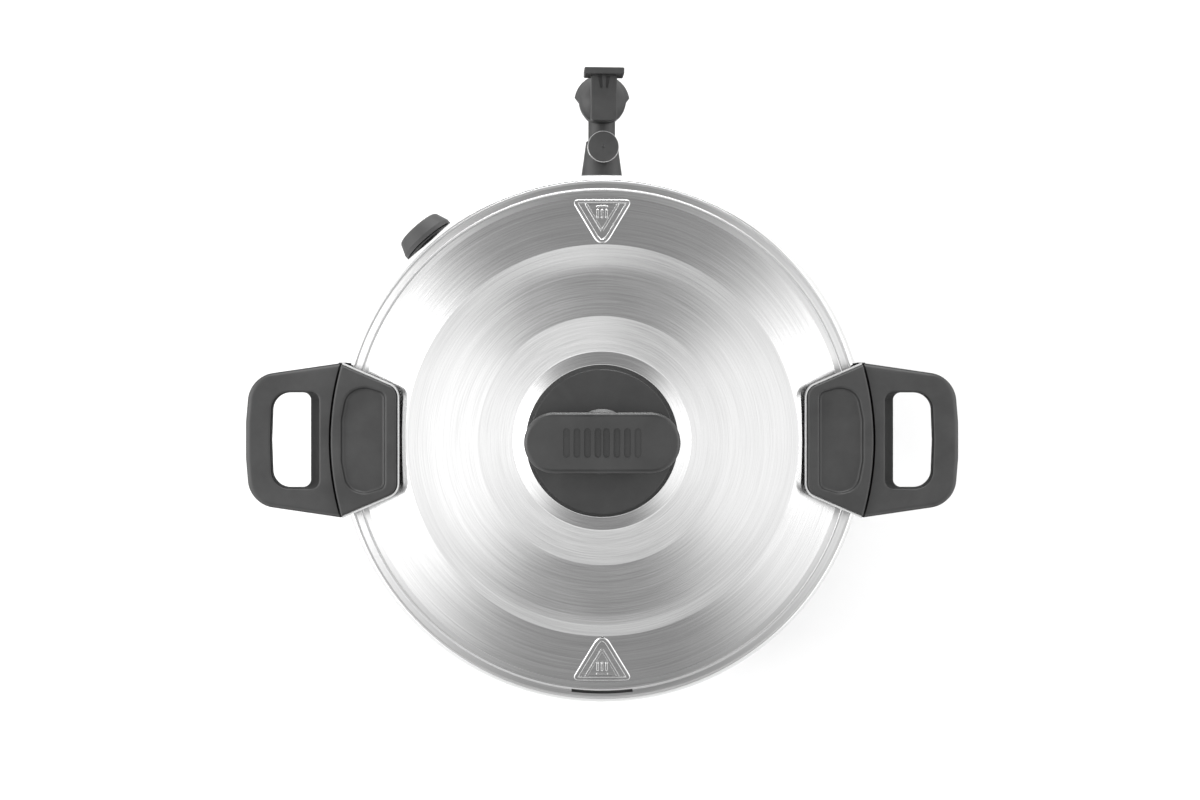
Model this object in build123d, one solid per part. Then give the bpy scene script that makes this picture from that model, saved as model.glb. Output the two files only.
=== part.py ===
from build123d import *
import os
from math import radians, sin

# Stovetop pressure cooker with a twist-on lid, two pot handles, a drain tap and a side valve.
# Millimetres. The origin is on the vessel's axis, in the face that it stands on.
# +Z is up, +X runs to the right-hand handle and +Y to the tap.

# ---- Driving dimensions ----
body_radius = 187.2          # outside of the vessel's wall
neck_radius = 170.0          # outside of the neck that carries the bayonet lugs
lid_radius = 177.7           # outside of the lid's skirt
rim_height = 245.0           # top of the lid's outer bead
shoulder_height = 214.0      # top of the shoulder below the neck
neck_height = 236.0          # top of the neck's flange
skirt_bottom = 222.0         # lower edge of the lid's skirt
sheet = 1.5                  # thickness of the stainless sheet
base_height = 6.5            # sandwich base under the vessel
base_radius = 152.0
bayonet_count = 6
bayonet_span = 28.0          # degrees covered by one lug
seam_radius = 183.1          # arc that parts the lid grips from the pot handles
seam_gap = 2.0
handle_reach = 240.6         # axis to the outer face of a pot handle
handle_top = rim_height + 16
grip_top = rim_height + 21
tap_height = 52.0            # tap's axis above the stove
tap_roll = 3.0               # degrees by which the tap is screwed in past upright
side_height = 190.0          # side valve's axis above the stove
side_angle = 131.3           # its direction, in degrees from +X
fitting_origin = 185.5       # axis to the plane that the reaches of tap and side valve start from

wall_inside = body_radius - sheet
lug_step = 360 / bayonet_count


# ---- Helpers ----
def turned(outline):
    """Solid of revolution about Z of a closed (radius, height) outline."""
    return revolve(Plane.XZ * outline, axis=Axis.Z)


def rolled_sheet(outer_points, outer_bends, inner_points, inner_bends):
    """Revolved sheet between two lines, each with a bend radius at every point but its ends."""
    outer = FilletPolyline(*outer_points, radius=outer_bends)
    inner = FilletPolyline(*inner_points, radius=inner_bends)
    axis_end = Line(outer @ 0, inner @ 0)
    rim_end = Line(outer @ 1, inner @ 1)
    return turned(make_face([*outer.edges(), *inner.edges(), axis_end, rim_end]))


def ring(outer, inner, low, high):
    """Plain ring or disc about Z between two heights."""
    solid = Pos(0, 0, low) * extrude(Circle(outer), amount=high - low)
    if inner > 0:
        solid -= Pos(0, 0, low - 1) * extrude(Circle(inner), amount=high - low + 2)
    return solid


def ring_arc(outer, inner, low, high, middle, span):
    """Part of a ring, span degrees wide and centred on the direction middle."""
    reach = 2 * outer
    half_width = reach * sin(radians(span / 2))
    sector = make_face(Polyline((0, 0), (reach, half_width), (reach, -half_width), close=True))
    wedge = Pos(0, 0, low - 1) * extrude(sector, amount=high - low + 2)
    return Rot(0, 0, middle) * (ring(outer, inner, low, high) & wedge)


def hexagon(width, low, high, bore=0.0):
    """Hexagonal nut or head about Z, width across its flats."""
    solid = Pos(0, 0, low) * extrude(RegularPolygon(width / 2, 6, major_radius=False), amount=high - low)
    if bore > 0:
        solid -= ring(bore, 0, low - 1, high + 1)
    return solid


def screw(shank, head, head_height, length):
    """Pan-head screw along +Z, the underside of its head at the origin and a cross recess in the head."""
    solid = ring(shank, 0, 0, length) + fillet(
        ring(head, 0, -head_height, 0).edges().group_by(Axis.Z)[0], head_height * 0.6)
    for turn in (0, 90):
        solid -= Rot(0, 0, turn) * Pos(0, 0, -head_height) * Box(head * 1.1, 1.1, head_height)
    return solid


def coil(radius, wire, turns, low, high):
    """Helical spring about Z."""
    pitch = (high - low - 2 * wire) / turns
    path = Pos(0, 0, low + wire) * Helix(pitch, pitch * turns, radius)
    section = Plane(path @ 0, z_dir=path % 0) * Circle(wire)
    return sweep(section, path, is_frenet=True)


def circles(solid, least_radius):
    """Round edges of a solid that are larger than a radius."""
    return solid.edges().filter_by(GeomType.CIRCLE).filter_by(lambda edge: edge.radius > least_radius)


def group(solids):
    """Several separate solids kept together as one sub-part."""
    return Compound(children=[s for item in solids for s in item.solids()])


def outward(solid):
    """Turn a piece built along +Z so that it points along +Y."""
    return Rot(-90, 0, 0) * solid


# ---- Vessel and base ----
def bayonet_lugs(outer, inner, low, high, start):
    return [ring_arc(outer, inner, low, high, start + k * lug_step, bayonet_span) for k in range(bayonet_count)]


def make_vessel():
    """Drawn vessel, and the neck ring that is welded on its shoulder."""
    flange_radius = 171.5
    lug_radius = 174.8
    lug_low = 227.5
    lug_high = 230.5
    outside = [
        (0, base_height),
        (body_radius, base_height),
        (body_radius, shoulder_height),
        (neck_radius - sheet, shoulder_height),
    ]
    inside = [
        (0, base_height + sheet),
        (wall_inside, base_height + sheet),
        (wall_inside, shoulder_height - sheet),
        (neck_radius - sheet, shoulder_height - sheet),
    ]
    shell = rolled_sheet(outside, [24, 8], inside, [24 - sheet, 8 - sheet])
    shell -= tap_place(outward(ring(shank_radius + 0.1, 0, -12, 12)))
    shell -= side_place(outward(ring(bush_radius + 0.1, 0, -12, 12)))
    neck = ring(neck_radius, neck_radius - sheet, shoulder_height, neck_height)
    neck += ring(flange_radius, neck_radius - sheet, neck_height - sheet, neck_height)
    for lug in bayonet_lugs(lug_radius, neck_radius - 0.5, lug_low, lug_high, lug_step / 2):
        neck += lug
    return shell, neck


def make_base():
    bottom = 1.2
    side = 1.2
    cap = ring(base_radius, 0, 0, base_height) - ring(base_radius - side, 0, bottom, base_height + 1)
    cap = fillet(cap.edges().filter_by(GeomType.CIRCLE).group_by(Axis.Z)[0], 0.8)
    core = ring(base_radius - side, 0, bottom, base_height)
    return cap, core


# ---- Lid ----
lid_flat = 60.0              # radius of the flat centre
lid_crease_inner = 83.4
lid_easing = 118.0           # where the middle zone starts to flatten towards the outer crease
lid_crease_outer = 132.6
lid_shoulder = 165.5
centre_height = rim_height + 24
lid_line = [
    (0, centre_height),
    (lid_flat, centre_height),
    (lid_crease_inner, rim_height + 21.4),
    (lid_easing, rim_height + 14.65),
    (lid_crease_outer, rim_height + 13.2),
    (lid_shoulder, rim_height + 2.6),
    (lid_shoulder + 4.3, rim_height + 1.1),
    (lid_shoulder + 4.9, rim_height + 1.5),
    (lid_shoulder + 5.7, rim_height + 1.5),
    (lid_shoulder + 6.4, rim_height + 0.9),
    (lid_shoulder + 10.3, rim_height - 0.3),
    (lid_shoulder + 11.0, rim_height),
    (lid_radius, rim_height),
    (lid_radius, skirt_bottom),
]
lid_bends = [8, 3, 150, 3, 2, 0.3, 0.25, 0.25, 0.5, 0.5, 0.3, 0.9]
vent_tube_radius = 6.0
grip_screw_radius = 153.0
grip_screw_offset = 19.0


def lid_envelope(rise):
    """Everything under the lid's outer face moved up by rise, as far out as the skirt."""
    low = skirt_bottom - 20
    top = [(r, z + rise) for r, z in lid_line[:-2]]
    edge = lid_radius + rise
    outline = Polyline((0, low), *top, (edge, rim_height + rise), (edge, low), close=True)
    return turned(make_face(outline))


def under_lid():
    """Space below the lid's sheet."""
    low = skirt_bottom - 20
    top = [(r, z - sheet - 0.15) for r, z in lid_line[:6]]
    return turned(make_face(Polyline((0, low), *top, (lid_shoulder, low), close=True)))


def rounded_triangle(size, corner, point):
    """Equal-sided triangle about its centre, base towards +Y; corner rounds the base's ends, point the third."""
    depth = size * 0.866
    outline = Polyline((-size / 2, depth / 3), (size / 2, depth / 3), (0, -2 * depth / 3), close=True)
    face = make_face(outline)
    face = fillet(face.vertices().sort_by(Axis.Y)[1:], corner)
    return fillet(face.vertices().sort_by(Axis.Y)[0], point)


def raised_mark():
    """Tall prism of a plain triangle with three ribs, over the +Y side of the lid's outer cone."""
    size = 36.8
    inner_size = 22.6
    line_width = 1.6
    middle = 151.8
    inner_middle = 3.1
    rib_middle = 2.1
    rib_spacing = 3.0
    widening = 1.732 * line_width
    sketch = rounded_triangle(size + widening, 2.0, 4.8) - rounded_triangle(size - widening, 0.6, 3.2)
    inner = rounded_triangle(inner_size + widening, 1.4, 1.4) - rounded_triangle(inner_size - widening, 0.5, 0.5)
    sketch += Pos(0, inner_middle) * inner
    for k in (-1, 0, 1):
        sketch += Pos(k * rib_spacing, rib_middle) * Rectangle(1.2, 6.0)
    return Pos(0, middle, rim_height - 8) * extrude(sketch, amount=40)


def screw_places():
    return [(side * grip_screw_radius, y) for side in (-1, 1) for y in (-grip_screw_offset, grip_screw_offset)]


def make_lid():
    lug_inner = 172.2
    lug_high = 226.9
    window_radius = 172.5
    window_width = 2.2
    window_span = 14.0
    mark_height = 0.45
    skirt_inside = lid_radius - sheet
    inside = [(r, z - sheet) for r, z in lid_line[:7]]
    inside += [(lid_shoulder + 7, rim_height - 2.9), (skirt_inside, rim_height - 2.9), (skirt_inside, skirt_bottom)]
    shell = rolled_sheet(lid_line, lid_bends, inside, [*lid_bends[:6], 1.2, 1.0])
    for lug in bayonet_lugs(lid_radius - 0.5, lug_inner, skirt_bottom, lug_high, 0):
        shell += lug
    band = lid_envelope(mark_height) - lid_envelope(-0.4)
    for turn in (0, 180):
        shell += Rot(0, 0, turn) * (band & raised_mark())
    shell -= ring(vent_tube_radius + 0.1, 0, rim_height, centre_height + 1)
    shell -= ring_arc(window_radius + window_width / 2, window_radius - window_width / 2,
                      rim_height - 6, rim_height + 5, -90, window_span)
    for x, y in screw_places():
        shell -= Pos(x, y, 0) * ring(2.7, 0, rim_height - 10, rim_height + 20)
    return shell


def make_gasket():
    low = neck_height + 0.3
    high = rim_height - 3.2
    body = ring(175.6, 167.0, low, high)
    lip = ring(170.5, 163.5, low, low + 1.6)
    return (body + lip) & lid_envelope(-sheet - 0.2)


# ---- Lid grips ----
grip_inner = 137.8
grip_half_width = 34.8       # at the inner edge
grip_flare = 0.433           # widening of the grip towards the seam


def grip_outline(growth):
    """Outline of the right-hand grip, grown by growth everywhere but at the seam."""
    seam_edge = seam_radius - seam_gap / 2
    inner = grip_inner - growth
    inner_half = grip_half_width + 0.66 * growth
    seam_half = inner_half + grip_flare * (seam_edge - inner)
    outline = Polyline((inner, -inner_half), (seam_edge, -seam_half), (seam_edge + 6, 0), (seam_edge, seam_half),
                       (inner, inner_half), close=True)
    face = make_face(outline)
    face = fillet(face.vertices().sort_by(Axis.X)[:2], 9.0 + growth)
    return face & Circle(seam_edge)


def grip_recess():
    """Pillow-shaped thumb recess of the right-hand grip, straight inside and bulging towards the seam."""
    half_length = 35.8
    points = [(145.8, -31.8), (159, -half_length), (171.4, -32.5), (175.0, -14), (175.0, 14),
              (171.4, 32.5), (159, half_length), (145.8, 31.8)]
    return make_face(FilletPolyline(*points, radius=[5, 12, 12, 14, 14, 12, 12, 5], close=True))


def recess_rim(pad):
    """Edges round the mouth of the thumb recess, in the pad's top face."""
    top = pad.faces().filter_by(Axis.Z).sort_by(Axis.Z)[-1]
    return top.inner_wires()[0].edges()


def make_lid_grip(lid):
    """Right-hand lid grip: moulded seat, metal plate with an upright trim round the pad, and the pad."""
    seat_top = rim_height + 13.8
    plate_top = seat_top + 1.2
    trim_rise = 3.4
    seat_low = rim_height - 8
    recess_depth = 2.8
    seat = Pos(0, 0, seat_low) * extrude(grip_outline(-3.0), amount=seat_top - seat_low)
    seat -= lid_envelope(0.1)
    seat -= lid
    plate = Pos(0, 0, seat_top) * extrude(grip_outline(1.4), amount=plate_top + trim_rise - seat_top)
    plate -= Pos(0, 0, plate_top) * extrude(grip_outline(0.5), amount=10)
    pad = Pos(0, 0, plate_top) * extrude(grip_outline(0.0), amount=grip_top - plate_top)
    pad = fillet(pad.edges().group_by(Axis.Z)[-1], 1.6)
    cutter = Pos(0, 0, grip_top - recess_depth) * extrude(grip_recess(), amount=10)
    cutter = fillet(cutter.edges().group_by(Axis.Z)[0], 2.2)
    pad -= cutter
    pad = fillet(recess_rim(pad), 2.0)
    screws = []
    for y in (-grip_screw_offset, grip_screw_offset):
        hole = Pos(grip_screw_radius, y, 0) * ring(2.6, 0, rim_height - 20, grip_top - 3.6)
        seat -= hole
        plate -= hole
        pad -= hole
        fixing = Pos(grip_screw_radius, y, rim_height + 1.5) * screw(2.5, 4.6, 3.2, 14.8)
        collar = Pos(grip_screw_radius, y, 0) * ring(4.6, 2.5, rim_height + 1.5, rim_height + 12) & under_lid()
        screws.append(fixing + collar)
    return seat, plate, pad, group(screws)


# ---- Lid knob with its turning vent grip ----
disc_height = 18.0
collar_height = 3.0
disc_low = centre_height + collar_height
disc_top = disc_low + disc_height
grip_low = disc_top + 16.0
grip_high = rim_height + 76.0
vent_flange_radius = 9.5
vent_flange_height = 2.0


def make_knob():
    collar = turned(make_face(Polyline((30, centre_height), (59.6, centre_height), (51.0, disc_low),
                                       (30, disc_low), close=True)))
    disc = turned(make_face(Polyline((vent_tube_radius + 0.05, disc_low), (50.8, disc_low), (47.3, disc_top),
                                     (vent_tube_radius + 0.05, disc_top), close=True)))
    disc = fillet(circles(disc, 40).sort_by(Axis.Z)[-1], 0.7)
    disc -= ring(30.0, vent_tube_radius + 4, disc_low - 1, disc_low + 6)
    disc -= ring(vent_flange_radius + 0.1, 0, disc_top - vent_flange_height, disc_top + 1)
    return collar, disc


def make_vent_grip():
    """Oval bar with eight grooves on a round neck, hollow in the middle for the vent weight."""
    half_length = 49.9
    half_width = 19.4
    chamber_radius = 8.0
    chamber_top = grip_low + 8.0
    neck_radius_low = 21.3
    groove_pitch = 6.64
    groove_start = 2.7
    groove_length = 18.6
    groove_width = 4.2
    crown_radius = 420.0
    bar = Pos(0, 0, grip_low) * extrude(SlotOverall(2 * half_length, 2 * half_width), amount=grip_high - grip_low)
    bar &= Pos(0, 0, grip_high - crown_radius) * Rot(90, 0, 0) * Cylinder(crown_radius, 4 * half_width)
    bar = fillet(bar.faces().sort_by(Axis.Z)[-1].edges(), 3.0)
    bar = fillet(bar.faces().sort_by(Axis.Z)[0].edges(), 2.5)
    neck_line = Polyline((0, disc_top + 0.3), (neck_radius_low, disc_top + 0.3), (neck_radius_low - 5, disc_top + 5),
                         (neck_radius_low - 2.4, grip_low + 0.5), (0, grip_low + 0.5), close=True)
    solid = bar + turned(make_face(neck_line))
    solid -= ring(chamber_radius, 0, disc_top - 1, chamber_top)
    for side in (-1, 1):
        for k in range(4):
            x = side * (groove_start + k * groove_pitch)
            groove = Pos(x, 0, grip_high - 1.4) * SlotOverall(groove_length, groove_width, rotation=90)
            solid -= extrude(groove, amount=10)
    return solid


def make_vent():
    """Fixed vent tube with its nut and seal under the lid, and the loose weight on top of it."""
    tube_low = rim_height + 10.0
    tube_top = disc_top + 6.0
    bore = 2.5
    nut_low = centre_height - sheet - 9.0
    washer_low = centre_height - sheet - 2.0
    flange = ring(vent_flange_radius, bore, disc_top - vent_flange_height, disc_top)
    tube = ring(vent_tube_radius, bore, tube_low, tube_top) + flange
    tube = chamfer(tube.edges().filter_by(GeomType.CIRCLE).group_by(Axis.Z)[-1].sort_by(SortBy.RADIUS)[0], 0.9)
    washer = ring(13.0, vent_tube_radius, washer_low, centre_height - sheet)
    nut = hexagon(19.0, nut_low, washer_low, vent_tube_radius)
    weight_top = grip_low + 4.0
    weight = ring(7.0, 0, tube_top + 0.3, weight_top)
    weight = chamfer(weight.edges().group_by(Axis.Z)[-1], 1.0)
    pin = ring(2.2, 0, tube_top - 8.0, tube_top + 1.0)
    return tube, washer, nut, weight + pin


# ---- Pot handles ----
handle_root_top = 238.0
handle_root_low = 176.0
root_half_width = 53.0
bracket_low = 182.0
bracket_high = 204.0
handle_screw_height = 193.0
handle_screw_offset = 20.0


def handle_outline():
    """Right-hand handle seen from above, from inside the seam out to the hand bar."""
    bar_end = handle_reach - 2.6
    bulge = 12.0
    outline = Polyline((170, -53.1), (bar_end, -43.2), (handle_reach, -bulge), (handle_reach, bulge),
                       (bar_end, 43.2), (170, 53.1), close=True)
    face = make_face(outline)
    face = fillet([v for v in face.vertices() if v.X > handle_reach - 1], 60.0)
    return fillet([v for v in face.vertices() if v.X > bar_end - 0.1 and abs(v.Y) > 40], 20.0)


def finger_opening(inner, reach, half_width, bend):
    """Opening between the hand bar and the pot: nearly square corners inside, round ones outside."""
    face = make_face(Polyline((inner, -half_width), (reach - 1.2, -half_width), (reach, 0),
                              (reach - 1.2, half_width), (inner, half_width), close=True))
    outer_corners = [v for v in face.vertices() if v.X > reach - 2 and abs(v.Y) > 1]
    face = fillet(outer_corners, bend)
    return fillet(face.vertices().sort_by(Axis.X)[:2], 5.5)


def make_pot_handle():
    loop_low = handle_top - 20.0
    opening_inner = 189.8
    opening_outer = 223.0
    opening_half = 32.4
    wall_slope = 9.8
    bar_draft = 3.4
    loop = Pos(0, 0, loop_low) * extrude(handle_outline(), amount=handle_top - loop_low)
    loop = fillet(loop.edges().filter_by(lambda e: e.center().X > 178).group_by(Axis.Z)[-1], 4.0)
    loop = fillet(loop.edges().filter_by(lambda e: e.center().X > 200).group_by(Axis.Z)[0], 4.0)
    root = Pos(0, 0, handle_root_low) * extrude(
        make_face(Polyline((176, -root_half_width), (181, -root_half_width), (186, -48), (198, -46), (198, 46),
                           (186, 48), (181, root_half_width), (176, root_half_width), close=True)),
        amount=handle_root_top - handle_root_low)
    arm = Pos(0, 0, handle_root_top - 30) * extrude(
        make_face(Polyline((178, -46), (200, -46), (200, 46), (178, 46), close=True)),
        amount=loop_low + 1 - handle_root_top + 30)
    cutter_low = handle_top - 33
    low_inner = opening_inner + wall_slope * 33 / 20
    low_outer = opening_outer + bar_draft * 33 / 20
    cutter = loft([
        Pos(0, 0, cutter_low) * finger_opening(low_inner, low_outer, opening_half, 12.0),
        Pos(0, 0, handle_top + 1) * finger_opening(opening_inner, opening_outer, opening_half, 12.0),
    ])
    handle = loop + root + arm - cutter
    mouth = handle.faces().filter_by(Axis.Z).sort_by(Axis.Z)[-1].inner_wires()[0]
    handle = fillet(mouth.edges(), 1.5)
    handle -= ring(seam_radius + seam_gap / 2, 0, handle_root_low - 1, handle_top + 1)
    handle -= ring(body_radius + 0.1, 0, handle_root_low - 1, shoulder_height + 2)
    bracket = ring_arc(body_radius + 2.1, body_radius + 0.1, bracket_low, bracket_high, 0, 22)
    screws = []
    for y in (-handle_screw_offset, handle_screw_offset):
        boss = Pos(body_radius - 1, y, handle_screw_height) * Rot(0, 90, 0) * ring(5.0, 0, 0, 5.0)
        bracket += boss - ring(body_radius + 0.1, 0, bracket_low - 1, bracket_high + 1)
        bracket -= Pos(body_radius - 2, y, handle_screw_height) * Rot(0, 90, 0) * ring(2.5, 0, 0, 12.0)
        fixing = Pos(195.0, y, handle_screw_height) * Rot(0, -90, 0) * screw(2.5, 4.5, 3.0, 8.5)
        screws.append(fixing)
        handle -= Pos(195.0, y, handle_screw_height) * Rot(0, 90, 0) * ring(4.7, 0, 0, 12.0)
        handle -= Pos(183.0, y, handle_screw_height) * Rot(0, 90, 0) * ring(2.5, 0, 0, 20.0)
    handle -= bracket
    return handle, bracket, group(screws)


# ---- Drain tap, built with its shank along +Y from the fitting plane ----
shank_radius = 9.0
chamber_reach = 83.7         # fitting plane to the axis of the valve chamber
chamber_radius = 16.0
bonnet_low = 13.0
bonnet_radius = 19.0
tap_neck_radius = 11.0
tap_neck_start = 52.2
stem_radius = 2.5
pivot_reach = 72.0
pivot_height = 29.5
eye_radius = 3.2             # round top of the post that carries the lever's pin
lever_half_width = 10.35
head_radius = 4.4            # stem's head, over the lever's two studs
head_low = 30.5


def tap_place(solid):
    return Pos(0, fitting_origin, tap_height) * Rot(0, tap_roll, 0) * solid


def vessel_wall():
    """Solid of the vessel as far out as its wall, in the tap's and the side valve's frame."""
    return Pos(0, -fitting_origin, 0) * ring(body_radius + 0.1, 0, -60, 60)


def vessel_inside():
    """Space inside the wall, in the same frame."""
    return Pos(0, -fitting_origin, 0) * ring(wall_inside - 0.1, 0, -60, 60)


def make_tap_shroud():
    length = 52.0
    body = outward(turned(make_face(Polyline((shank_radius + 0.1, -2), (20.3, -2), (12.8, length),
                                             (shank_radius + 0.1, length), close=True))))
    post = Pos(0, 44.5, 0) * ring(11.6, 0, 0, 20)
    shroud = body + post - outward(ring(shank_radius + 0.1, 0, -3, length + 1))
    shroud -= outward(ring(tap_neck_radius + 0.1, 0, tap_neck_start - 0.1, length + 20))
    return shroud - vessel_wall()


def make_tap_cap():
    """Round cap on the shroud's post, with a bright ring let into its edge."""
    low = 20.0
    top = 24.5
    cap = Pos(0, 44.5, 0) * ring(12.0, 0, low, top)
    cap -= Pos(0, 44.5, top + 1.2) * Sphere(1.9)
    trim = Pos(0, 44.5, 0) * ring(12.6, 12.0, low, top - 0.9)
    return cap, trim


def make_tap_shank():
    inside_end = -17.0
    outside_end = 58.0
    bore = 6.0
    seal_low = -5.5
    tube = outward(ring(shank_radius, bore, inside_end, outside_end))
    seal = outward(ring(15.0, shank_radius, seal_low, 2.0)) & vessel_inside()
    nut = outward(hexagon(27.0, seal_low - 7.0, seal_low, shank_radius))
    return tube, seal, nut


def make_tap_body():
    nozzle_radius = 9.0
    nozzle_bore = 6.5
    nozzle_end = -36.0
    seat = -8.0
    body = outward(ring(tap_neck_radius, 0, tap_neck_start, chamber_reach))
    body += Pos(0, chamber_reach, 0) * ring(chamber_radius, 0, -14, bonnet_low)
    body += Pos(0, chamber_reach, 0) * ring(nozzle_radius, 0, nozzle_end, -13)
    body -= outward(ring(shank_radius, 0, 50, 58))
    body -= outward(ring(6.0, 0, 57, chamber_reach - 8))
    body -= Pos(0, chamber_reach, 0) * ring(12.0, 0, seat, bonnet_low + 1)
    body -= Pos(0, chamber_reach, 0) * ring(nozzle_bore, 0, nozzle_end - 1, seat + 1)
    return body


def dome(radius, low, height):
    """Spherical cap of a base radius and a height, standing on the height low."""
    sphere_radius = (radius ** 2 + height ** 2) / (2 * height)
    cap = Pos(0, 0, low + height - sphere_radius) * Sphere(sphere_radius)
    return cap & ring(radius, 0, low, low + height + 1)


def make_tap_bonnet():
    """Domed bonnet, wider on its outer half, where it ends in two ears; a post carries the lever's pin."""
    hood_radius = 22.6
    hood = dome(hood_radius, 4.0, 15.5)
    footprint = make_face(Polyline((0, -1.1), (18.9, -1.1), (24, 5.6), (24, 30), (-24, 30), (-24, 5.6),
                                   (-18.9, -1.1), close=True))
    hood &= Pos(0, 0, 0) * extrude(footprint, amount=40)
    hood -= ring(chamber_radius + 0.1, 0, -1, bonnet_low)
    skirt = ring(bonnet_radius, chamber_radius + 0.1, 6.0, bonnet_low)
    cap = dome(bonnet_radius, bonnet_low, 11.0)
    bonnet = Pos(0, chamber_reach, 0) * (cap + skirt + hood)
    post = Pos(0, pivot_reach, 0) * extrude(Rectangle(7.0, 2 * eye_radius), amount=pivot_height)
    post += Pos(-3.5, pivot_reach, pivot_height) * Rot(0, 90, 0) * ring(eye_radius, 0, 0, 7.0)
    post &= Pos(0, 0, bonnet_low) * Box(60, 200, 60, align=(Align.CENTER, Align.CENTER, Align.MIN))
    bonnet += post
    bonnet -= Pos(0, chamber_reach, 0) * ring(stem_radius + 0.1, 0, 0, 40)
    bonnet -= Pos(0, chamber_reach, 0) * ring(12.0, 0, 0, bonnet_low + 3.0)
    bonnet -= outward(ring(tap_neck_radius + 0.1, 0, tap_neck_start, chamber_reach))
    bonnet -= pivot_bore(1.5)
    return bonnet


def pivot_bore(radius):
    return Pos(0, pivot_reach, pivot_height) * Rot(0, 90, 0) * ring(radius, 0, -20, 20)


def make_tap_lever():
    """Channel-shaped lever with two studs under the stem's head and a T-shaped finger bar at its outer end."""
    inner_end = 63.5
    bar_start = 99.0
    bar_end = 104.4
    top = 35.0
    side_low = 26.2
    wall = 2.6
    roof = 2.0
    hollow_start = inner_end + 2.5
    hollow_end = 97.0
    stud_radius = 1.0
    stud_inner = stem_radius + 0.4
    length = bar_start - inner_end + 1
    middle = (inner_end + bar_start + 1) / 2
    body = Pos(0, middle, 0) * extrude(RectangleRounded(2 * lever_half_width, length, 2.5), amount=top)
    body &= Pos(0, 0, side_low) * Box(60, 240, 40, align=(Align.CENTER, Align.CENTER, Align.MIN))
    body = fillet(body.edges().group_by(Axis.Z)[-1], 1.0)
    hollow = Pos(0, (hollow_start + hollow_end) / 2, side_low - 1) * extrude(
        Rectangle(2 * (lever_half_width - wall), hollow_end - hollow_start), amount=top - roof - side_low + 1)
    body -= hollow
    for side in (-1, 1):
        stud = Rot(0, side * 90, 0) * ring(stud_radius, 0, stud_inner, lever_half_width - 0.5)
        body += Pos(0, chamber_reach, head_low - 0.3 - stud_radius) * stud
    bar = Pos(0, (bar_start + bar_end) / 2, 24) * extrude(
        RectangleRounded(31.7, bar_end - bar_start, 1.2), amount=17)
    bar = fillet(bar.edges().group_by(Axis.Z)[-1], 1.0)
    lever = body + bar
    for side in (-1, 1):
        groove = make_face(Polyline((side * 1.2, 89), (side * 3.0, 89), (side * 5.0, 98.6), (side * 1.6, 98.6),
                                    close=True))
        lever -= Pos(0, 0, top - 1.6) * extrude(groove, amount=3)
    lever -= pivot_bore(1.55)
    return lever


def make_tap_inside():
    """Stem with its head, silicone plug and return spring, in the valve chamber."""
    seat = -8.0
    plug_top = seat + 4.5
    head_top = 31.6
    plug = Pos(0, chamber_reach, 0) * (ring(9.0, 0, seat + 0.2, plug_top))
    plug += Pos(0, chamber_reach, 0) * ring(5.5, 0, seat - 2.0, seat + 0.5)
    stem = ring(stem_radius, 0, plug_top, head_top) + ring(7.0, 0, plug_top, plug_top + 1.5)
    stem += ring(head_radius, 0, head_low, head_top)
    stem = Pos(0, chamber_reach, 0) * stem
    spring = Pos(0, chamber_reach, 0) * coil(5.4, 0.6, 4, plug_top + 1.5, 9.0)
    pin = Pos(0, pivot_reach, pivot_height) * Rot(0, 90, 0) * ring(1.5, 0, -lever_half_width + 0.2,
                                                                  lever_half_width - 0.2)
    return stem, plug, spring, pin


# ---- Side valve, built with its spindle along +Y from the fitting plane ----
bush_radius = 6.5
spindle_radius = 3.2


def side_place(solid):
    return Rot(0, 0, side_angle - 90) * Pos(0, fitting_origin, side_height) * solid


def make_side_valve():
    knob_base = 3.4
    knob_face = 15.6
    knob_radius = 20.2
    face_radius = 16.6
    nut_start = -12.5
    seal_start = -5.0
    bush = outward(ring(bush_radius, spindle_radius + 0.05, -15.0, 7.5))
    escutcheon = outward(ring(18.5, bush_radius, -2.0, 3.0)) - vessel_wall()
    seal = outward(ring(12.0, bush_radius, seal_start, 2.0)) & vessel_inside()
    nut = outward(hexagon(20.0, nut_start, seal_start, bush_radius))
    knob = turned(make_face(Polyline((0, knob_base), (knob_radius, knob_base), (knob_radius, knob_base + 3.0),
                                     (face_radius, knob_face), (0, knob_face), close=True)))
    knob = fillet(circles(knob, 10).sort_by(Axis.Z)[-1], 2.6)
    knob -= ring(12.5, 0, knob_base - 1, 9.0)
    knob -= ring(spindle_radius, 0, 8.0, 12.0)
    rib = Pos(0, face_radius / 2, knob_face - 0.5) * extrude(RectangleRounded(3.0, face_radius - 4, 1.4), amount=1.6)
    knob += rib
    spindle = outward(ring(spindle_radius, 0, -19.0, 12.0) + ring(5.0, 0, -19.0, -15.4))
    return bush, escutcheon, seal, nut, outward(knob), spindle


# ---- Assembly ----
parts = {}
parts["pot_shell"], parts["pot_neck"] = make_vessel()
parts["base_cap"], parts["base_core"] = make_base()
parts["lid_shell"] = make_lid()
parts["lid_gasket"] = make_gasket()
parts["knob_collar"], parts["knob_disc"] = make_knob()
parts["vent_grip"] = make_vent_grip()
parts["vent_tube"], parts["vent_washer"], parts["vent_nut"], parts["vent_weight"] = make_vent()

handle_pieces = make_pot_handle()
grip_pieces = make_lid_grip(parts["lid_shell"])
for side, turn in (("right", 0), ("left", 180)):
    for name, solid in zip(("pot_handle", "handle_bracket", "handle_screws"), handle_pieces):
        parts[f"{name}_{side}"] = Rot(0, 0, turn) * solid
    for name, solid in zip(("grip_seat", "grip_plate", "grip_pad", "grip_screws"), grip_pieces):
        parts[f"{name}_{side}"] = Rot(0, 0, turn) * solid

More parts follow.
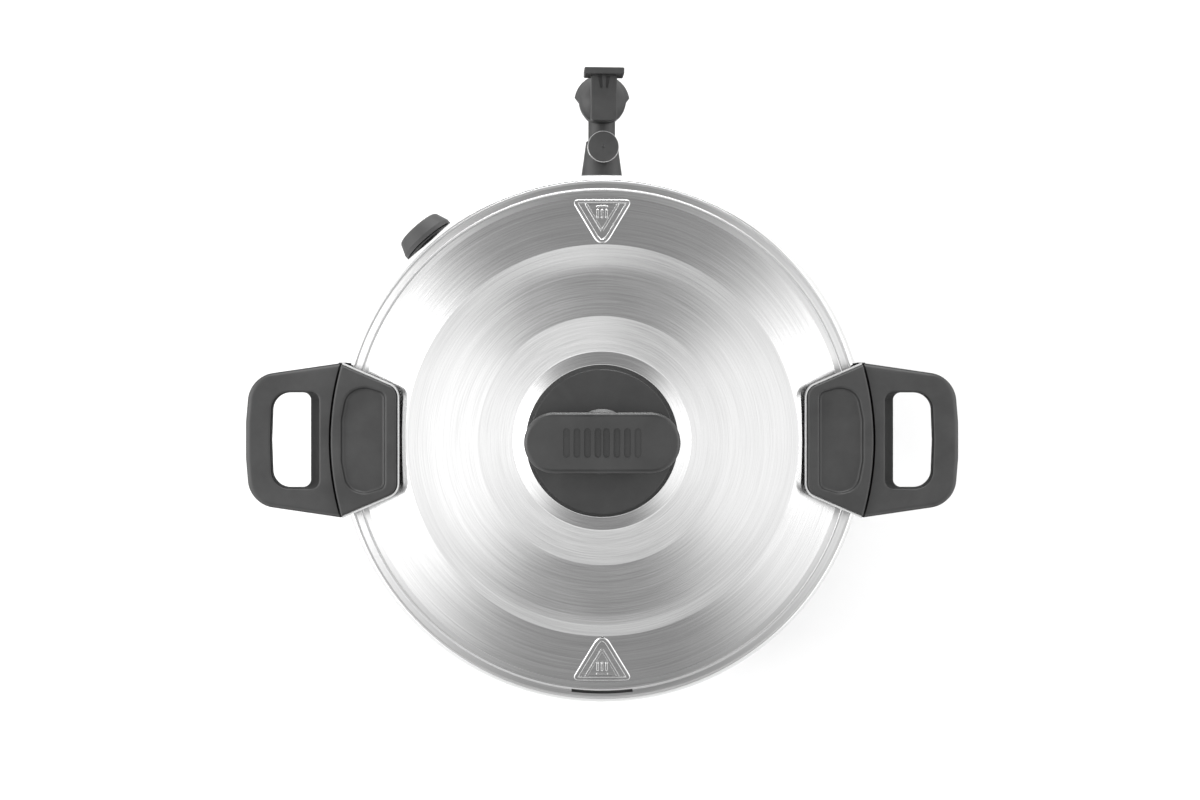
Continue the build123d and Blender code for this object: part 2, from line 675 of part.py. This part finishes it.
parts["tap_shroud"] = tap_place(make_tap_shroud())
tap_names = ("tap_cap", "tap_trim", "tap_shank", "tap_seal", "tap_nut", "tap_stem", "tap_plug", "tap_spring", "tap_pin")
for name, solid in zip(tap_names, make_tap_cap() + make_tap_shank() + make_tap_inside()):
    parts[name] = tap_place(solid)
parts["tap_body"] = tap_place(make_tap_body())
parts["tap_bonnet"] = tap_place(make_tap_bonnet())
parts["tap_lever"] = tap_place(make_tap_lever())

side_names = ("side_bush", "side_escutcheon", "side_seal", "side_nut", "side_knob", "side_spindle")
for name, solid in zip(side_names, make_side_valve()):
    parts[name] = side_place(solid)

os.makedirs("parts", exist_ok=True)
for name, solid in parts.items():
    export_step(solid, f"parts/{name}.step")
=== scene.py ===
import math

import bmesh
import bpy
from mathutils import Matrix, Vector


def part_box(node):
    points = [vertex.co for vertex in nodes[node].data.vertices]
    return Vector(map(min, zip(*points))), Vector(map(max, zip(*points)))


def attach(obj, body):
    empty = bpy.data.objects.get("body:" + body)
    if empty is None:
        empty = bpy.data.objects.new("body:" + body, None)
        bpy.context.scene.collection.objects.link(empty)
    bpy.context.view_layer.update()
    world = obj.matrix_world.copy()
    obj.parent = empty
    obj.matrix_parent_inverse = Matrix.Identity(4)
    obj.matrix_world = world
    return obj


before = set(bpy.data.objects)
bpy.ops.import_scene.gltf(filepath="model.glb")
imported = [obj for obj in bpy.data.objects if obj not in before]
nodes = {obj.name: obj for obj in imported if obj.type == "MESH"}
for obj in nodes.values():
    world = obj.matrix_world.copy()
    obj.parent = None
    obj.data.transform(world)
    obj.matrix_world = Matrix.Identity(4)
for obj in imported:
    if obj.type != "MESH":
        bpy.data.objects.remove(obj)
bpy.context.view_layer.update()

# Lengths are in metres.
DOME_RISE = 0.024                # top of the lid's dome above its rim
RIM_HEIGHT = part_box("lid_shell")[1].z - DOME_RISE


# ---- Node graphs ----
class Graph:
    """One material's node tree, with short calls to add and link nodes."""

    def __init__(self, name):
        self.material = bpy.data.materials.new(name)
        self.material.use_nodes = True
        self.tree = self.material.node_tree
        self.surface = self.tree.nodes["Principled BSDF"]
        self.place = self.add("ShaderNodeTexCoord").outputs["Object"]

    def add(self, kind, **settings):
        node = self.tree.nodes.new(kind)
        for key, value in settings.items():
            setattr(node, key, value)
        return node

    def link(self, source, target):
        """Link an output to a socket, or set the socket to a constant."""
        if isinstance(source, (int, float, tuple)):
            target.default_value = source
        else:
            self.tree.links.new(source, target)

    def maths(self, operation, first, second=0.0):
        node = self.add("ShaderNodeMath", operation=operation)
        self.link(first, node.inputs[0])
        self.link(second, node.inputs[1])
        return node.outputs[0]

    def vector_maths(self, operation, first, second=(0.0, 0.0, 0.0)):
        node = self.add("ShaderNodeVectorMath", operation=operation)
        self.link(first, node.inputs[0])
        self.link(second, node.inputs[1])
        return node.outputs["Value" if operation == "LENGTH" else "Vector"]

    def gather(self, x, y, z):
        node = self.add("ShaderNodeCombineXYZ")
        for key, value in zip("XYZ", (x, y, z)):
            self.link(value, node.inputs[key])
        return node.outputs[0]

    def split(self, vector):
        node = self.add("ShaderNodeSeparateXYZ")
        self.link(vector, node.inputs[0])
        return [node.outputs[key] for key in "XYZ"]

    def darkened(self, colour, mask, share):
        """The colour, made darker by the given share where the mask is 1."""
        level = self.maths("SUBTRACT", 1.0, self.maths("MULTIPLY", mask, share))
        return self.vector_maths("MULTIPLY", colour, self.gather(level, level, level))

    def noise(self, scale, detail=2.0, roughness=0.5, vector=None, fourth=None):
        """Noise in the piece's own space, or on the given vector, with a fourth axis if one is given."""
        node = self.add("ShaderNodeTexNoise", noise_dimensions="3D" if fourth is None else "4D")
        self.link(self.place if vector is None else vector, node.inputs["Vector"])
        node.inputs["Scale"].default_value = scale
        node.inputs["Detail"].default_value = detail
        node.inputs["Roughness"].default_value = roughness
        if fourth is not None:
            self.link(fourth, node.inputs["W"])
        return node.outputs["Fac"]

    def spread(self, value, low, high, start=0.3, end=0.7):
        """Map a value from start..end to low..high. Noise mostly lies within the default range."""
        node = self.add("ShaderNodeMapRange")
        self.link(value, node.inputs["Value"])
        node.inputs["From Min"].default_value = start
        node.inputs["From Max"].default_value = end
        node.inputs["To Min"].default_value = low
        node.inputs["To Max"].default_value = high
        return node.outputs["Result"]

    def tint(self, value, dark, light):
        """Blend two colours by a value."""
        node = self.add("ShaderNodeMix", data_type="RGBA")
        self.link(value, node.inputs["Factor"])
        node.inputs["A"].default_value = (*dark, 1)
        node.inputs["B"].default_value = (*light, 1)
        return node.outputs["Result"]

    def bump(self, height, strength, distance):
        node = self.add("ShaderNodeBump")
        node.inputs["Strength"].default_value = strength
        node.inputs["Distance"].default_value = distance
        self.link(height, node.inputs["Height"])
        return node.outputs["Normal"]

    def finish(self, colour, roughness, normal=None, **constants):
        """Link the surface's inputs, set its constants by name, and return the material."""
        self.link(colour, self.surface.inputs["Base Color"])
        self.link(roughness, self.surface.inputs["Roughness"])
        if normal is not None:
            self.link(normal, self.surface.inputs["Normal"])
        for key, value in constants.items():
            self.surface.inputs[key.replace("_", " ")].default_value = value
        return self.material


def radius_from_axis(graph):
    """Flat vector from the vertical axis, its length, and the height."""
    x, y, height = graph.split(graph.place)
    flat = graph.gather(x, y, 0.0)
    return flat, graph.vector_maths("LENGTH", flat), height


def circular_brushing(graph, pitch, arc):
    """Fine noise lines round the vertical axis, a pitch apart. A larger arc makes them shorter."""
    flat, radius, height = radius_from_axis(graph)
    x, y, _ = graph.split(graph.vector_maths("NORMALIZE", flat))
    place = graph.gather(graph.maths("MULTIPLY", x, arc),
                         graph.maths("MULTIPLY", y, arc),
                         graph.maths("MULTIPLY", radius, 1 / pitch))
    return graph.noise(1.0, detail=3.0, roughness=0.6, vector=place,
                       fourth=graph.maths("MULTIPLY", height, 1 / pitch))


# ---- Materials ----
def grey(level):
    return (level, level, level)


def round_brushed_steel(name, anisotropy, dark, light, spun_radius=None):
    """Stainless sheet brushed round the vertical axis, with faint handling marks. Beyond spun_radius it
    is left as it was spun, so it is rougher, and its colour is darkened there as painted shade on the
    rim."""
    spun_edge = 0.0006           # width over which the brushing ends
    spun_rougher, spun_painted_shade = 0.16, 0.3
    fine_share = 0.75            # the rest of the pattern is coarse lines
    g = Graph(name)
    fine = circular_brushing(g, pitch=0.0004, arc=2.2)
    coarse = circular_brushing(g, pitch=0.003, arc=1.0)
    smudge = g.noise(14.0, detail=3.0)
    tone = g.maths("ADD", g.maths("MULTIPLY", fine, fine_share),
                   g.maths("MULTIPLY", coarse, 1 - fine_share))
    colour = g.tint(g.spread(tone, 0.0, 1.0, start=0.35, end=0.65), dark, light)
    roughness = g.maths("ADD", g.spread(fine, 0.16, 0.23), g.spread(smudge, -0.02, 0.03))
    if spun_radius:
        radius = radius_from_axis(g)[1]
        spun = g.spread(radius, 0.0, 1.0, start=spun_radius, end=spun_radius + spun_edge)
        roughness = g.maths("ADD", roughness, g.maths("MULTIPLY", spun, spun_rougher))
        # painted shade: the colour beyond spun_radius is darkened to stand for the shade in the rim's
        # grooves
        colour = g.darkened(colour, spun, spun_painted_shade)
    tangent = g.add("ShaderNodeTangent", direction_type="RADIAL", axis="Z")
    g.link(tangent.outputs[0], g.surface.inputs["Tangent"])
    normal = g.bump(tone, strength=0.16, distance=0.00006)
    return g.finish(colour, roughness, normal, Metallic=1.0, Anisotropic=anisotropy)


def plain_brushed_steel(name, stretch):
    """Small steel pieces with straight brushing, the noise stretched along one axis."""
    g = Graph(name)
    mapping = g.add("ShaderNodeMapping")
    g.link(g.place, mapping.inputs["Vector"])
    g.link(stretch, mapping.inputs["Scale"])
    lines = g.noise(1.0, detail=3.0, roughness=0.6, vector=mapping.outputs[0])
    wear = g.noise(90.0, detail=3.0)
    colour = g.tint(g.spread(lines, 0.0, 1.0), grey(0.5), grey(0.68))
    roughness = g.maths("ADD", g.spread(lines, 0.2, 0.34), g.spread(wear, -0.03, 0.05))
    normal = g.bump(lines, strength=0.2, distance=0.00005)
    return g.finish(colour, roughness, normal, Metallic=1.0)


def moulded_plastic(name, dark, light, base_roughness, painted_shade_factor, shine):
    """Black moulded plastic: spark-eroded grain, haze and rubbed edges. Where it is steep it is duller,
    and its colour is multiplied there by the factor painted_shade_factor, as painted shade on the side
    walls."""
    g = Graph(name)
    texture = g.noise(2600.0, detail=2.0, roughness=0.6)
    haze = g.noise(38.0, detail=4.0, roughness=0.6)
    edge = g.add("ShaderNodeNewGeometry").outputs["Pointiness"]
    rubbed = g.spread(edge, 0.0, 0.35, start=0.52, end=0.62)
    tone = g.maths("ADD", g.spread(haze, 0.0, 0.8), rubbed)
    upward = g.split(g.add("ShaderNodeTexCoord").outputs["Normal"])[2]
    steep = g.spread(g.maths("ABSOLUTE", upward), 1.0, 0.0, start=0.5, end=0.72)
    # painted shade: steep faces are darkened to stand for the shade on side walls
    colour = g.darkened(g.tint(tone, grey(dark), grey(light)), steep, 1.0 - painted_shade_factor)
    roughness = g.maths("ADD", g.spread(haze, base_roughness - 0.03, base_roughness + 0.05),
                        g.spread(texture, -0.03, 0.03))
    side_roughness = g.maths("MULTIPLY", steep, 0.95 * (1.0 - painted_shade_factor))
    roughness = g.maths("MAXIMUM", roughness, side_roughness)
    normal = g.bump(texture, strength=0.35, distance=0.00002)
    return g.finish(colour, roughness, normal, Specular_IOR_Level=shine)


def soft_silicone(name, dark, light):
    """Matt black silicone with a dusty skin."""
    g = Graph(name)
    cloud = g.noise(60.0, detail=3.0)
    dust = g.noise(1500.0, detail=2.0)
    colour = g.tint(g.spread(cloud, 0.0, 1.0), dark, light)
    return g.finish(colour, g.spread(dust, 0.5, 0.62), g.bump(dust, strength=0.2, distance=0.00003))


def machined_metal(name, dark, light, roughness):
    """Turned metal with fine tool marks."""
    g = Graph(name)
    marks = circular_brushing(g, pitch=0.0003, arc=3.0)
    cloud = g.noise(70.0, detail=3.0)
    colour = g.tint(g.spread(cloud, 0.0, 1.0), dark, light)
    rough = g.maths("ADD", g.spread(marks, roughness, roughness + 0.1), g.spread(cloud, 0.0, 0.05))
    return g.finish(colour, rough, g.bump(marks, strength=0.2, distance=0.00003), Metallic=1.0)


BRUSHED_RADIUS = 0.1656          # the lid is brushed out to here, just beyond the foot of its cone; beyond it the colour carries painted shade
LID_STEEL = round_brushed_steel("lid_steel", 0.75, grey(0.62), grey(0.78), BRUSHED_RADIUS)
WALL_STEEL = round_brushed_steel("wall_steel", 0.6, grey(0.6), grey(0.78))
SMALL_STEEL = plain_brushed_steel("small_steel", (120.0, 3000.0, 3000.0))
# Each plastic's steep faces carry painted shade, set by its last but one number.
HANDLE_PLASTIC = moulded_plastic("handle_plastic", 0.034, 0.055, base_roughness=0.42,
                                 painted_shade_factor=0.1, shine=0.33)
GRIP_PLASTIC = moulded_plastic("grip_plastic", 0.03, 0.05, base_roughness=0.48,
                               painted_shade_factor=0.4, shine=0.4)
DISC_PLASTIC = moulded_plastic("disc_plastic", 0.03, 0.045, base_roughness=0.34,
                               painted_shade_factor=0.1, shine=0.3)
KNOB_PLASTIC = moulded_plastic("knob_plastic", 0.02, 0.034, base_roughness=0.36,
                               painted_shade_factor=0.6, shine=0.5)
TAP_PLASTIC = moulded_plastic("tap_plastic", 0.026, 0.045, base_roughness=0.45,
                              painted_shade_factor=0.4, shine=0.4)
SIDE_RUBBER = moulded_plastic("side_knob_rubber", 0.04, 0.06, base_roughness=0.6,
                              painted_shade_factor=0.8, shine=0.4)
SILICONE = soft_silicone("silicone", grey(0.03), grey(0.05))
BRASS = machined_metal("brass", (0.5, 0.36, 0.16), (0.62, 0.47, 0.24), 0.25)
ALUMINIUM = machined_metal("aluminium", grey(0.6), grey(0.72), 0.35)
BRIGHT_TRIM = machined_metal("bright_trim", grey(0.6), grey(0.72), 0.12)
BEAD_STEEL = machined_metal("bead_steel", grey(0.6), grey(0.7), 0.16)


def both_sides(*pieces):
    return [f"{piece}_{side}" for side in ("left", "right") for piece in pieces]


FINISH = {
    LID_STEEL: ["lid_shell", "knob_collar"],
    WALL_STEEL: ["pot_shell", "pot_neck", "base_cap"],
    SMALL_STEEL: both_sides("grip_plate", "handle_bracket", "handle_screws", "grip_screws")
                 + ["tap_pin", "tap_spring", "tap_stem", "vent_tube", "vent_nut", "vent_weight"],
    HANDLE_PLASTIC: both_sides("pot_handle"),
    GRIP_PLASTIC: both_sides("grip_pad", "grip_seat"),
    DISC_PLASTIC: ["knob_disc"],
    KNOB_PLASTIC: ["vent_grip"],
    TAP_PLASTIC: ["tap_shroud", "tap_cap", "tap_body", "tap_bonnet", "tap_lever"],
    SIDE_RUBBER: ["side_knob", "side_escutcheon"],
    SILICONE: ["lid_gasket", "vent_washer", "tap_seal", "tap_plug", "side_seal"],
    BRASS: ["tap_shank", "tap_nut", "side_bush", "side_nut", "side_spindle"],
    ALUMINIUM: ["base_core"],
    BRIGHT_TRIM: ["tap_trim"],
}


def dress(piece, material):
    """Give every material slot of a piece the same material."""
    if not piece.data.materials:
        piece.data.materials.append(material)
    for slot in piece.material_slots:
        slot.material = material


for material, names in FINISH.items():
    for name in names:
        dress(nodes[name], material)


# ---- Raised hot-surface marks on the lid ----
CONE_TOP = (0.1326, 0.0132)      # ends of the lid's outer cone: radius, and height above the rim
CONE_FOOT = (0.1655, 0.0026)
MARK_TOP = 0.1624                # middle line of the outer triangle's base, from the lid's axis
INNER_TOP = MARK_TOP - 0.001     # where the inner triangle's open side lies
OUTER_SIZE, INNER_SIZE = 0.0368, 0.0226
OUTER_BENDS, INNER_BENDS = (0.0024, 0.0024, 0.0088), (0.0, 0.0026, 0.0)
TRIANGLE_RISE = 0.866            # height of an equilateral triangle over its side
RIB_SPACING, RIB_MIDDLE, RIB_HALF = 0.003, 0.1539, 0.0032
BAR_PLACE, BAR_HALF = 0.1592, 0.004
BEAD_SINK = 0.0003               # depth of a bead's edges below the steel
# Section of a bead, in half widths across and in heights up.
BEAD_SECTION = [(-1.0, 0.0), (-0.97, 0.35), (-0.88, 0.66), (-0.74, 0.88), (-0.56, 0.97), (-0.3, 1.0),
                (0.3, 1.0), (0.56, 0.97), (0.74, 0.88), (0.88, 0.66), (0.97, 0.35), (1.0, 0.0)]


def on_cone(x, y):
    """Point on the outer cone above (x, y), and the cone's normal there."""
    slope = (CONE_TOP[1] - CONE_FOOT[1]) / (CONE_FOOT[0] - CONE_TOP[0])
    radius = math.hypot(x, y)
    point = Vector((x, y, RIM_HEIGHT + CONE_FOOT[1] + (CONE_FOOT[0] - radius) * slope))
    return point, Vector((x / radius * slope, y / radius * slope, 1)).normalized()


def rounded_path(corners, bends, closed, steps=9):
    """Path through corners, each rounded by a quadratic curve that starts a distance bend before it."""
    path = []
    count = len(corners)
    for k, (corner, bend) in enumerate(zip(corners, bends)):
        if not closed and k in (0, count - 1):
            path.append(corner)
            continue
        before = (corners[k - 1] - corner).normalized() * bend
        after = (corners[(k + 1) % count] - corner).normalized() * bend
        for step in range(steps):
            t = step / (steps - 1)
            path.append(corner + before * (1 - t) ** 2 + after * t ** 2)
    return path


def stepped(path, closed, pitch=0.0012):
    """The path with extra points on its long stretches, so that it follows the cone."""
    points = []
    for first, second in zip(path, path[1:] + path[:1] if closed else path[1:]):
        parts = max(1, math.ceil((second - first).length / pitch))
        points += [first.lerp(second, k / parts) for k in range(parts)]
    return points if closed else points + [path[-1]]


def bead(shape, path, half_width, height, closed=False):
    """Low flat-topped bead along a path on the cone."""
    path = stepped(path, closed)
    rings = []
    count = len(path)
    for k, place in enumerate(path):
        point, normal = on_cone(place.x, place.y)
        ahead = path[(k + 1) % count] if closed or k + 1 < count else place
        behind = path[k - 1] if closed or k > 0 else place
        along = Vector((*(ahead - behind), 0)).normalized()
        across = normal.cross(along).normalized()
        ring = [point + across * c * half_width + normal * (s * height - BEAD_SINK)
                for c, s in BEAD_SECTION]
        rings.append([shape.verts.new(p) for p in ring])
    for first, second in zip(rings, rings[1:] + rings[:1] if closed else rings[1:]):
        for j in range(len(BEAD_SECTION)):
            i = (j + 1) % len(BEAD_SECTION)
            shape.faces.new((first[j], second[j], second[i], first[i]))
    if not closed:
        shape.faces.new(rings[0])
        shape.faces.new(list(reversed(rings[-1])))


def place_mesh(name, shape):
    """A new object in the scene, with the mesh of a bmesh, which is then freed."""
    mesh = bpy.data.meshes.new(name)
    shape.to_mesh(mesh)
    shape.free()
    placed = bpy.data.objects.new(name, mesh)
    bpy.context.scene.collection.objects.link(placed)
    return placed


def raised_marks():
    """Two embossed triangles. Each holds a smaller open triangle, three ribs and a short bar."""
    shape = bmesh.new()
    steps = [1 - j / 3.0 for j in range(7)]
    for turn in (1, -1):
        def spot(x, y):
            return Vector((turn * x, turn * y))

        outer = [spot(-OUTER_SIZE / 2, MARK_TOP), spot(OUTER_SIZE / 2, MARK_TOP),
                 spot(0, MARK_TOP - TRIANGLE_RISE * OUTER_SIZE)]
        bead(shape, rounded_path(outer, OUTER_BENDS, closed=True), half_width=0.0017, height=0.0012,
             closed=True)
        inner = [spot(-INNER_SIZE / 2, INNER_TOP), spot(0, INNER_TOP - TRIANGLE_RISE * INNER_SIZE),
                 spot(INNER_SIZE / 2, INNER_TOP)]
        bead(shape, rounded_path(inner, INNER_BENDS, closed=False), half_width=0.001, height=0.0008)
        for k in (-1, 0, 1):
            rib = [spot(k * RIB_SPACING, RIB_MIDDLE + RIB_HALF * step) for step in steps]
            bead(shape, rib, half_width=0.0009, height=0.001)
        bar = [spot(-BAR_HALF * step, BAR_PLACE) for step in steps]
        bead(shape, bar, half_width=0.0007, height=0.0007)
    bmesh.ops.recalc_face_normals(shape, faces=shape.faces)
    marks = place_mesh("raised_marks", shape)
    for polygon in marks.data.polygons:
        polygon.use_smooth = len(polygon.vertices) == 4
    dress(marks, BEAD_STEEL)
    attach(marks, "lid")


raised_marks()


# ---- Floor, camera and light ----
def pale_floor():
    """White paper floor, very faintly mottled."""
    shape = bmesh.new()
    bmesh.ops.create_grid(shape, x_segments=8, y_segments=8, size=6.0)
    floor = place_mesh("floor", shape)
    g = Graph("floor_white")
    mottle = g.noise(3.0, detail=3.0)
    colour = g.tint(g.spread(mottle, 0.0, 1.0), grey(0.9), grey(0.93))
    dress(floor, g.finish(colour, g.spread(mottle, 0.8, 0.9)))


def top_camera():
    """Camera straight above the lid, a little towards the tap."""
    distance = 1.0
    view_width = 0.821           # what the picture spans at the height of the rim
    data = bpy.data.cameras.new("camera")
    data.sensor_width = 36.0
    data.lens = data.sensor_width * distance / view_width
    camera = bpy.data.objects.new("camera", data)
    camera.location = (-0.0014, 0.0272, RIM_HEIGHT + distance)
    bpy.context.scene.collection.objects.link(camera)
    bpy.context.scene.camera = camera


def area_light(name, place, aim, width, height, watts):
    data = bpy.data.lights.new(name, "AREA")
    data.shape = "RECTANGLE"
    data.size = width
    data.size_y = height
    data.energy = watts
    light = bpy.data.objects.new(name, data)
    light.location = place
    light.rotation_euler = (Vector(aim) - Vector(place)).to_track_quat("-Z", "Y").to_euler()
    bpy.context.scene.collection.objects.link(light)


class Sky:
    """World shader whose strength is built up from the direction looked in."""

    def __init__(self):
        world = bpy.data.worlds.new("studio")
        bpy.context.scene.world = world
        world.use_nodes = True
        self.tree = world.node_tree
        self.background = self.tree.nodes["Background"]
        self.background.inputs["Color"].default_value = (1, 1, 1, 1)
        coordinates = self.tree.nodes.new("ShaderNodeTexCoord")
        split = self.tree.nodes.new("ShaderNodeSeparateXYZ")
        self.tree.links.new(coordinates.outputs["Generated"], split.inputs[0])
        self.x, self.y, self.z = (split.outputs[key] for key in "XYZ")

    def maths(self, operation, first, second=0.0):
        node = self.tree.nodes.new("ShaderNodeMath")
        node.operation = operation
        for value, socket in zip((first, second), node.inputs):
            if isinstance(value, (int, float)):
                socket.default_value = value
            else:
                self.tree.links.new(value, socket)
        return node.outputs[0]

    def times(self, first, second):
        return self.maths("MULTIPLY", first, second)

    def step(self, value, start, end, low=0.0, high=1.0):
        """Smooth change from low to high as a value goes from start to end."""
        node = self.tree.nodes.new("ShaderNodeMapRange")
        node.interpolation_type = "SMOOTHSTEP"
        self.tree.links.new(value, node.inputs["Value"])
        for key, number in (("From Min", start), ("From Max", end), ("To Min", low), ("To Max", high)):
            node.inputs[key].default_value = number
        return node.outputs["Result"]

    def blend(self, first, second, share):
        """First and second mixed, with the given share of the second."""
        rest = self.maths("SUBTRACT", 1.0, share)
        return self.maths("ADD", self.times(first, rest), self.times(second, share))

    def total(self, *terms):
        result = terms[0]
        for term in terms[1:]:
            result = self.maths("ADD", result, term)
        return result

    def shine(self, strength):
        self.tree.links.new(strength, self.background.inputs["Strength"])


def studio_light():
    """White tent, brighter at the left and right than in front and behind, with a bright roof. Soft
    boxes stand at the left and right, and a low strip behind."""
    dim, bright = 0.33, 1.36     # strength of the tent's walls in front or behind, and at the sides
    overlap = 0.05               # half the width over which front and back blend
    left_bias = 0.12             # how much stronger the far left is than the middle
    sky = Sky()
    x_square = sky.times(sky.x, sky.x)
    flat_square = sky.maths("ADD", x_square, sky.times(sky.y, sky.y))
    sideways = sky.maths("DIVIDE", x_square, sky.maths("ADD", flat_square, 0.0002))
    behind = sky.step(sky.y, -overlap, overlap)

    back_glow = sky.step(sideways, 0.3, 0.8, dim, bright)
    front_glow = sky.step(sideways, 0.12, 0.72, dim, bright)
    side_glow = sky.blend(front_glow, back_glow, behind)
    low_glow = sky.step(sky.z, 0.45, 0.15, 0.0, 1.1)

    right_edge = sky.step(sky.x, 0.09, 0.03)
    left_edge = sky.step(sky.x, -0.16, -0.08)
    back_roof = sky.times(sky.times(right_edge, left_edge), 0.85)
    front_roof = sky.step(sky.maths("ABSOLUTE", sky.x), 0.18, 0.1, 0.0, 0.48)
    overhead = sky.step(sky.z, 0.905, 0.935)
    roof = sky.times(sky.blend(front_roof, back_roof, behind), overhead)

    lean = sky.maths("SUBTRACT", 1.0, sky.times(sky.x, left_bias))
    sky.shine(sky.times(sky.total(side_glow, low_glow, roof), lean))

    area_light("left_box", (-1.5, 0.1, 1.1), (0, 0, 0.2), width=0.9, height=1.4, watts=13)
    area_light("right_box", (1.8, 0.1, 1.2), (0, 0, 0.2), width=0.9, height=1.4, watts=7)
    area_light("back_strip", (0, 2.0, 0.62), (0, 0, 0.25), width=1.8, height=0.4, watts=34)


pale_floor()
top_camera()
studio_light()
bpy.context.scene.view_settings.view_transform = "Standard"
bpy.context.scene.view_settings.look = "None"
